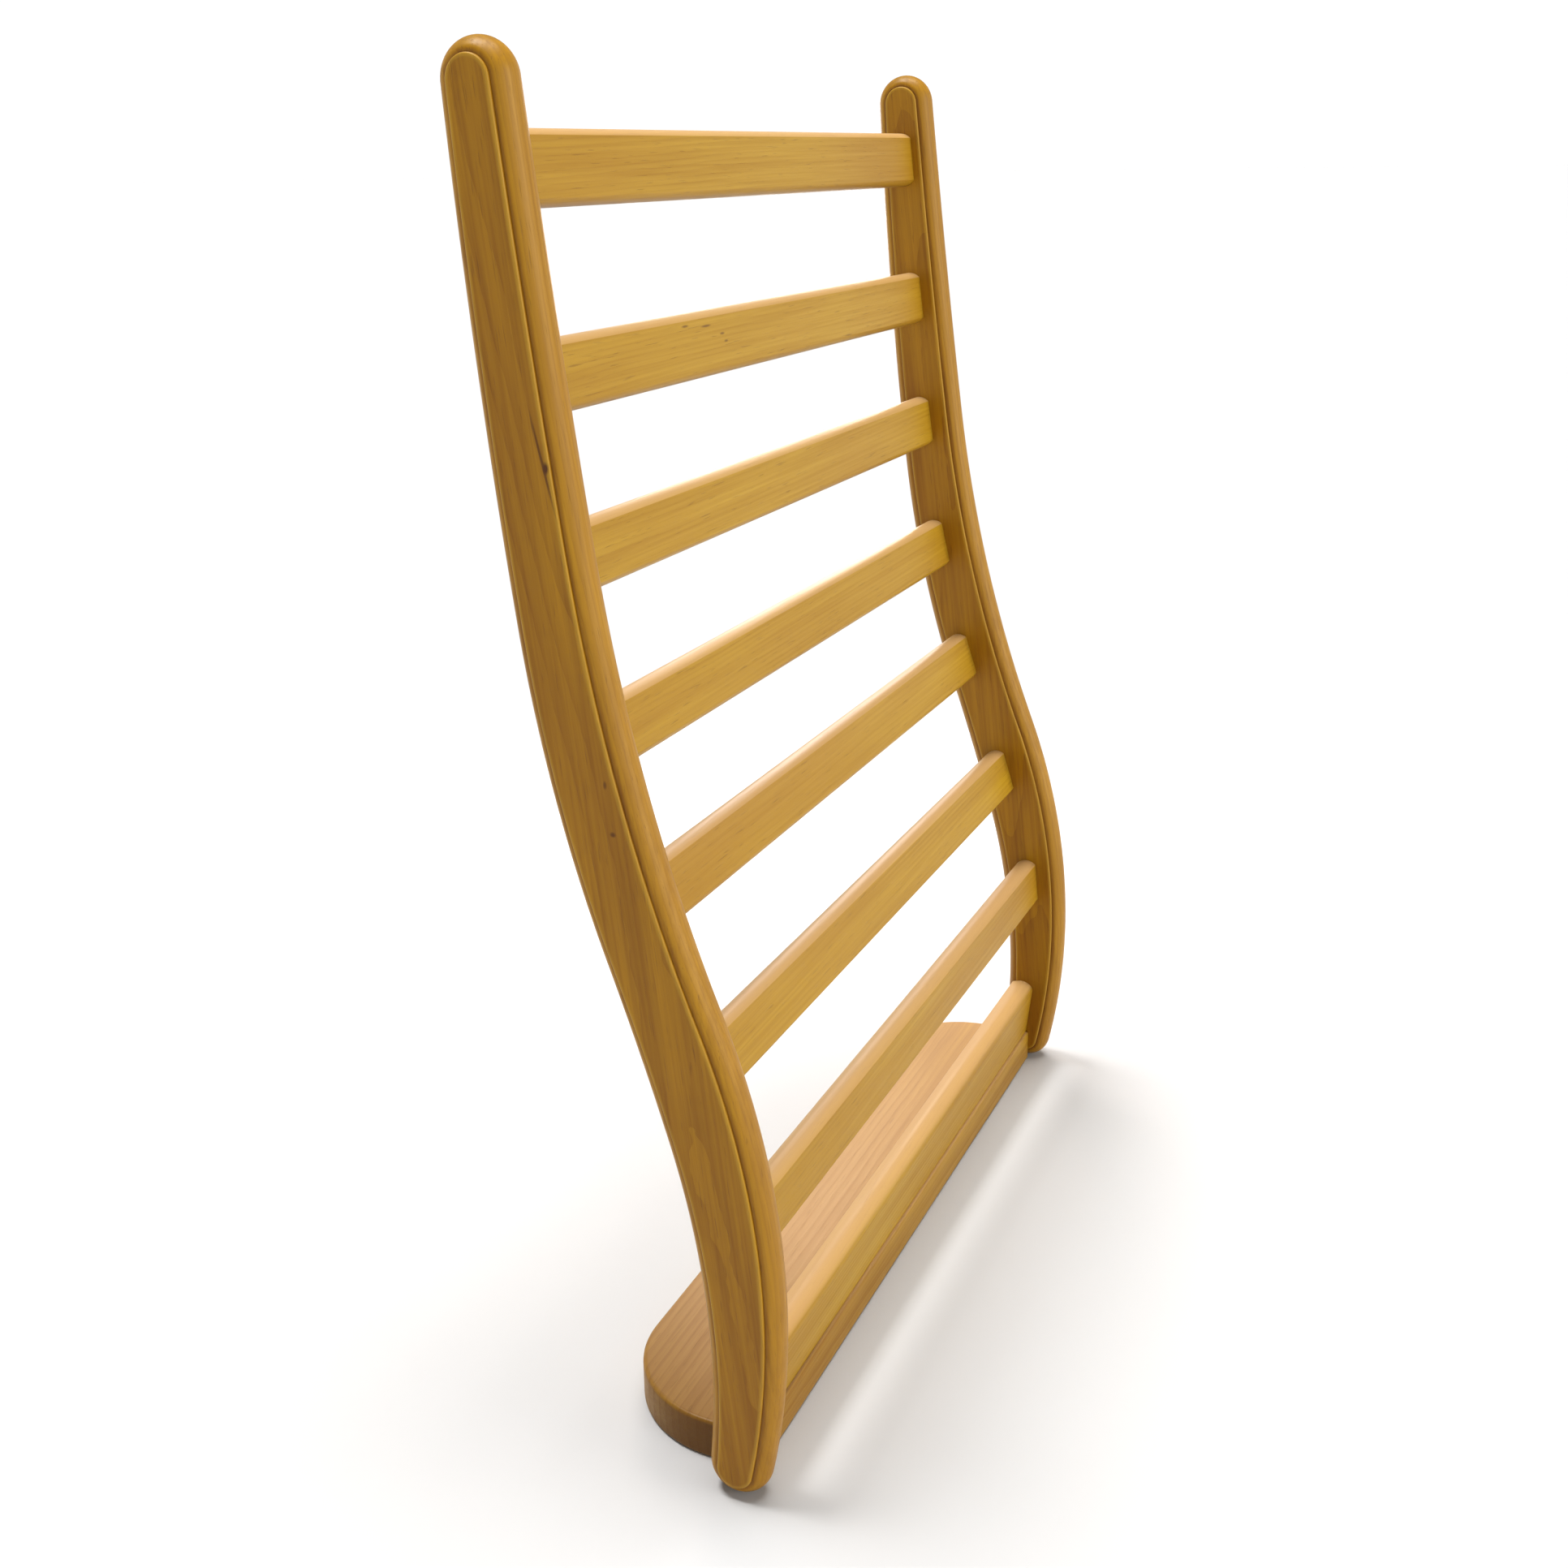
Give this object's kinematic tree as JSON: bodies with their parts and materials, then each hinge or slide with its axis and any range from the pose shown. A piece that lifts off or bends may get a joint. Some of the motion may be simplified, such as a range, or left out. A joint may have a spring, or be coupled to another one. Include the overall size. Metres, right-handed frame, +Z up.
{
  "type": "slatted wooden back rest",
  "caption": "Free-standing slatted wooden back rest: two S-curved uprights with bullnosed edges, flat slats between them, a deeper bottom rail and a round-cornered base board.",
  "frame": {"origin": "floor level, below the centre of the whole's bounding box", "axes": "X across the width, -Y the front that the back leans on, +Y the back where the base board runs out, +Z up"},
  "size_m": [0.454, 0.1288, 0.6],
  "materials": {
    "upright_wood": "satin clear varnish on golden pine",
    "slat_wood": "satin clear varnish on pale golden pine",
    "board_wood": "satin clear varnish on pale pine",
    "dowel_wood": "plain hardwood",
    "screw_steel": "zinc-plated"
  },
  "bodies": {
    "root": {"left_upright": "upright_wood", "right_upright": "upright_wood", "slat_1": "slat_wood", "slat_2": "slat_wood", "slat_3": "slat_wood", "slat_4": "slat_wood", "slat_5": "slat_wood", "slat_6": "slat_wood", "slat_7": "slat_wood", "bottom_rail": "slat_wood", "base_board": "board_wood", "base_dowels": "dowel_wood", "rail_screws": "screw_steel"}
  },
  "joints": []
}
